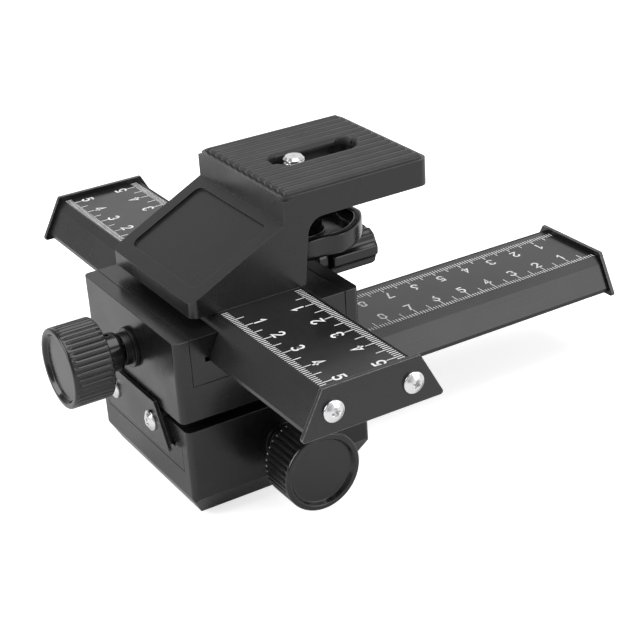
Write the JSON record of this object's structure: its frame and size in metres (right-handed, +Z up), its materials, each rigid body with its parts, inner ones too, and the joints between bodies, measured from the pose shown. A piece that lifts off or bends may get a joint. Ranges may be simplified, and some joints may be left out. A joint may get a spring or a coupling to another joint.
{
  "type": "four-way macro focusing rail",
  "caption": "Black macro focusing rail: crossed dovetail rails with scales, rack-and-pinion knobs, lock knobs and a slotted camera platform on a ribbed foot.",
  "frame": {"origin": "mouth of the tripod thread, in the plane of the base's underside, on the thread's axis", "axes": "+Z up, +X along the upper rail towards its right end plate, +Y along the lower rail towards its long free end"},
  "size_m": [0.167, 0.1861, 0.089],
  "materials": {
    "housing_paint": "satin black paint on die-cast alloy",
    "bracket_paint": "satin black paint on die-cast alloy",
    "foot_rubber": "matt ribbed rubber",
    "pad_rubber": "matt ribbed rubber",
    "bush_brass": "turned brass",
    "liner_anodised": "black anodised",
    "rail_anodised": "black anodised, satin",
    "scale_print": "dark grey strip with white ticks and numbers",
    "end_plate_paint": "satin black",
    "bright_screw": "bright nickel",
    "zinc_screw": "zinc plated",
    "black_screw": "black oxide",
    "rack_steel": "machined",
    "pinion_brass": "machined brass",
    "knob_plastic": "black moulded, slight sheen",
    "hub_metal": "glossy black"
  },
  "bodies": {
    "base": {"base_housing": "housing_paint", "foot_pad": "foot_rubber", "tripod_bush": "bush_brass", "lower_channel_liner": "liner_anodised", "lower_liner_screws": "zinc_screw", "lower_outer_bush": "black_screw", "lower_inner_bush": "bush_brass"},
    "lower_drive": {"lower_drive_knob": "knob_plastic", "lower_drive_hub": "hub_metal", "lower_drive_shaft": "rack_steel", "lower_pinion": "pinion_brass", "lower_grub_screw": "black_screw"},
    "lower_clamp": {"lower_clamp_gib": "liner_anodised"},
    "lower_lock": {"lower_lock_knob": "knob_plastic", "lower_lock_screw": "rack_steel"},
    "lower_carriage": {"lower_rail": "rail_anodised", "lower_rack": "rack_steel", "lower_rack_screws": "zinc_screw", "lower_scale": "scale_print", "lower_near_end_plate": "end_plate_paint", "lower_far_end_plate": "end_plate_paint", "lower_end_screws": "bright_screw", "carriage_housing": "housing_paint", "carriage_fixing_screws": "black_screw", "upper_channel_liner": "liner_anodised", "upper_liner_screws": "zinc_screw", "upper_outer_bush": "black_screw", "upper_inner_bush": "bush_brass"},
    "upper_drive": {"upper_drive_knob": "knob_plastic", "upper_drive_hub": "hub_metal", "upper_drive_shaft": "rack_steel", "upper_pinion": "pinion_brass", "upper_grub_screw": "black_screw"},
    "upper_clamp": {"upper_clamp_gib": "liner_anodised"},
    "upper_lock": {"upper_lock_knob": "knob_plastic", "upper_lock_screw": "rack_steel"},
    "upper_carriage": {"upper_rail": "rail_anodised", "upper_rack": "rack_steel", "upper_rack_screws": "zinc_screw", "upper_scales": "scale_print", "right_end_plate": "end_plate_paint", "left_end_plate": "end_plate_paint", "upper_end_screws": "bright_screw", "camera_bracket": "bracket_paint", "bracket_screws": "black_screw", "platform_pad": "pad_rubber"},
    "screw_slider": {"slot_slider": "black_screw"},
    "screw_ring": {"retaining_ring": "black_screw"},
    "screw": {"camera_screw": "bright_screw", "camera_screw_knob": "knob_plastic"}
  },
  "joints": [
    {"name": "lower_slide", "type": "slide", "parent": "base", "child": "lower_carriage", "axis": [0, 1, 0], "range_m": [-0.099, 0.001]},
    {"name": "lower_drive_turn", "type": "hinge", "parent": "base", "child": "lower_drive", "pos_m": [0.029, 0, 0.0159], "axis": [1, 0, 0], "range_deg": [-20, 1110]},
    {"name": "lower_clamp_slide", "type": "slide", "parent": "base", "child": "lower_clamp", "axis": [1, 0, 0], "range_m": [0, 0.0002]},
    {"name": "lower_lock_turn", "type": "hinge", "parent": "lower_clamp", "child": "lower_lock", "pos_m": [-0.03, 0, 0.0254], "axis": [1, 0, 0], "range_deg": [0, 90]},
    {"name": "upper_slide", "type": "slide", "parent": "lower_carriage", "child": "upper_carriage", "axis": [1, 0, 0], "range_m": [-0.05, 0.05]},
    {"name": "upper_drive_turn", "type": "hinge", "parent": "lower_carriage", "child": "upper_drive", "pos_m": [0, -0.03, 0.0438], "axis": [0, 1, 0], "range_deg": [-555, 555]},
    {"name": "upper_clamp_slide", "type": "slide", "parent": "lower_carriage", "child": "upper_clamp", "axis": [0, -1, 0], "range_m": [0, 0.0002]},
    {"name": "upper_lock_turn", "type": "hinge", "parent": "upper_clamp", "child": "upper_lock", "pos_m": [0, 0.03, 0.0533], "axis": [0, -1, 0], "range_deg": [0, 90]},
    {"name": "screw_slide", "type": "slide", "parent": "upper_carriage", "child": "screw_slider", "axis": [0, 1, 0], "range_m": [-0.0005, 0.0138]},
    {"name": "screw_lift", "type": "slide", "parent": "screw_slider", "child": "screw_ring", "axis": [0, 0, 1], "range_m": [0, 0.004]},
    {"name": "screw_turn", "type": "hinge", "parent": "screw_ring", "child": "screw", "pos_m": [0, 0.0267, 0.0681], "axis": [0, 0, 1], "continuous": true}
  ],
  "couplings": [
    {"joint": "lower_drive_turn", "follows": "lower_slide", "rad_per_m": -192.31},
    {"joint": "upper_drive_turn", "follows": "upper_slide", "rad_per_m": 192.31},
    {"joint": "lower_lock_turn", "follows": "lower_clamp_slide", "rad_per_m": 7854},
    {"joint": "upper_lock_turn", "follows": "upper_clamp_slide", "rad_per_m": 7854}
  ]
}
